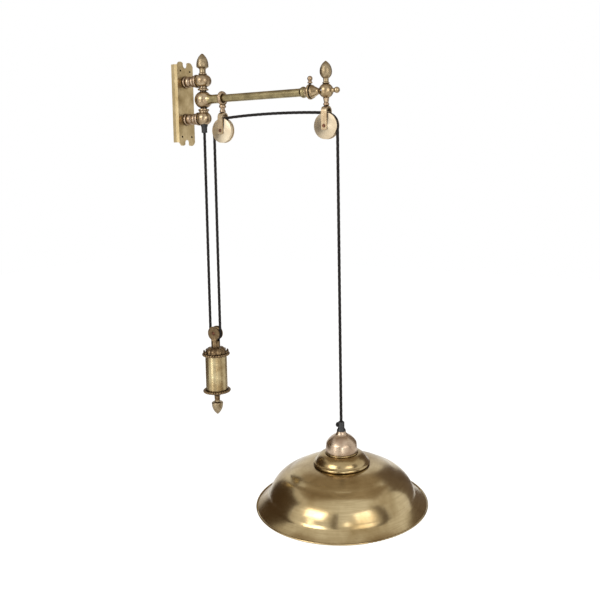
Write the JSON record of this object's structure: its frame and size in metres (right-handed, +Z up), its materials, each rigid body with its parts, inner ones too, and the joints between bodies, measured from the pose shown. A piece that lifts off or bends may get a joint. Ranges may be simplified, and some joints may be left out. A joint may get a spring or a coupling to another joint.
{
  "type": "rise and fall wall light",
  "caption": "Swing-arm wall light whose domed shade rises and falls on a cord that runs over pulleys to a balance weight.",
  "frame": {"origin": "middle of the plate's back face, on the wall, 6.8 mm below the arm's axis", "axes": "+X leaves the wall along the arm at rest, +Z is up"},
  "size_m": [0.5748, 0.35, 0.9298],
  "materials": {
    "plate_brass": "cast brass, brushed along its length, aged gold",
    "turned_brass": "turned brass with an aged rosy tone, semi-gloss",
    "tube_brass": "drawn brass tube, olive, brushed lengthwise",
    "finial_brass": "cast brass with a fine grained surface, aged",
    "pulley_brass": "turned brass, pale, satin",
    "weight_brass": "cast brass, dark in its hollows",
    "shell_brass": "brass tube, brushed and lacquered",
    "shade_brass": "spun brass sheet, aged and polished",
    "cap_brass": "spun brass, pale and satin",
    "rivet_bronze": "dark bronze rivets",
    "black_flex": "braided black flex",
    "inner_lead": "sheathed lead, pale",
    "black_plastic": "moulded black plastic",
    "white_ceramic": "glazed ceramic",
    "steel": "plain steel",
    "socket_brass": "bright pressed brass",
    "cast_iron": "rough cast iron"
  },
  "bodies": {
    "wall_bracket": {"backplate": "plate_brass", "terminal_block": "white_ceramic", "terminal_screws": "socket_brass", "earth_screw": "socket_brass", "upper_knuckle": "turned_brass", "lower_knuckle": "turned_brass", "pivot_pin": "steel", "upper_stud": "steel", "lower_nipple": "steel", "stub_nuts": "steel", "pivot_washers": "turned_brass", "upper_stub": "turned_brass", "lower_stub": "turned_brass", "post_finial": "finial_brass", "post_cord_grip": "black_plastic", "internal_lead": "inner_lead"},
    "arm": {"hub_socket": "turned_brass", "arm_tube": "tube_brass", "arm_ferrule": "tube_brass", "collar_disc": "turned_brass", "end_cone": "turned_brass", "end_ball": "turned_brass", "end_finial": "finial_brass", "end_knob": "turned_brass", "inner_hanger": "turned_brass", "set_screws": "steel", "outer_hanger": "turned_brass", "inner_fork": "turned_brass", "outer_fork": "turned_brass", "pulley_axles": "rivet_bronze", "cord_fall_a": "black_flex", "cord_fall_b": "black_flex", "cord_drop": "black_flex", "cord_over_arm": "black_flex"},
    "thumbscrew_body": {"thumbscrew": "turned_brass"},
    "inner_pulley": {"inner_sheave": "pulley_brass"},
    "outer_pulley": {"outer_sheave": "pulley_brass"},
    "weight": {"weight_fork": "weight_brass", "weight_axle": "rivet_bronze", "cord_weight_loop": "black_flex", "weight_cap": "weight_brass", "weight_rims": "weight_brass", "weight_shell": "shell_brass", "weight_base": "weight_brass", "weight_slug": "cast_iron", "weight_rod": "steel", "weight_finial": "finial_brass"},
    "weight_pulley": {"weight_sheave": "pulley_brass"},
    "lamp": {"lamp_cord_grip": "black_plastic", "lamp_grip_screw": "black_plastic", "lamp_nipple": "steel", "lamp_cap": "cap_brass", "cap_ring": "shade_brass", "shade_collar": "shade_brass", "shade": "shade_brass", "lampholder": "black_plastic", "socket_sleeve": "socket_brass", "socket_contact": "socket_brass", "shade_ring": "black_plastic"}
  },
  "joints": [
    {"name": "arm_swing", "type": "hinge", "parent": "wall_bracket", "child": "arm", "pos_m": [0.063, 0, 0.0068], "axis": [0, 0, 1], "range_deg": [-70, 70]},
    {"name": "lamp_slide", "type": "slide", "parent": "arm", "child": "lamp", "axis": [0, 0, 1], "range_m": [-0.45, 0.35], "deforming": ["cord_drop"]},
    {"name": "weight_slide", "type": "slide", "parent": "arm", "child": "weight", "axis": [0, 0, 1], "range_m": [-0.175, 0.225], "deforming": ["cord_fall_a", "cord_fall_b"]},
    {"name": "inner_pulley_turn", "type": "hinge", "parent": "arm", "child": "inner_pulley", "pos_m": [0.1155, 0, -0.0612], "axis": [0, 1, 0], "continuous": true},
    {"name": "outer_pulley_turn", "type": "hinge", "parent": "arm", "child": "outer_pulley", "pos_m": [0.375, 0, -0.0612], "axis": [0, 1, 0], "continuous": true},
    {"name": "weight_pulley_turn", "type": "hinge", "parent": "weight", "child": "weight_pulley", "pos_m": [0.07685, 0, -0.5072], "axis": [0, 1, 0], "continuous": true},
    {"name": "thumbscrew_turn", "type": "hinge", "parent": "arm", "child": "thumbscrew_body", "pos_m": [0.338, 0, 0.0268], "axis": [0, 0, 1], "continuous": true}
  ],
  "couplings": [
    {"joint": "weight_slide", "follows": "lamp_slide", "ratio": -0.5},
    {"joint": "inner_pulley_turn", "follows": "lamp_slide", "rad_per_m": -40.323},
    {"joint": "outer_pulley_turn", "follows": "lamp_slide", "rad_per_m": -40.323},
    {"joint": "weight_pulley_turn", "follows": "lamp_slide", "rad_per_m": 36.101}
  ]
}
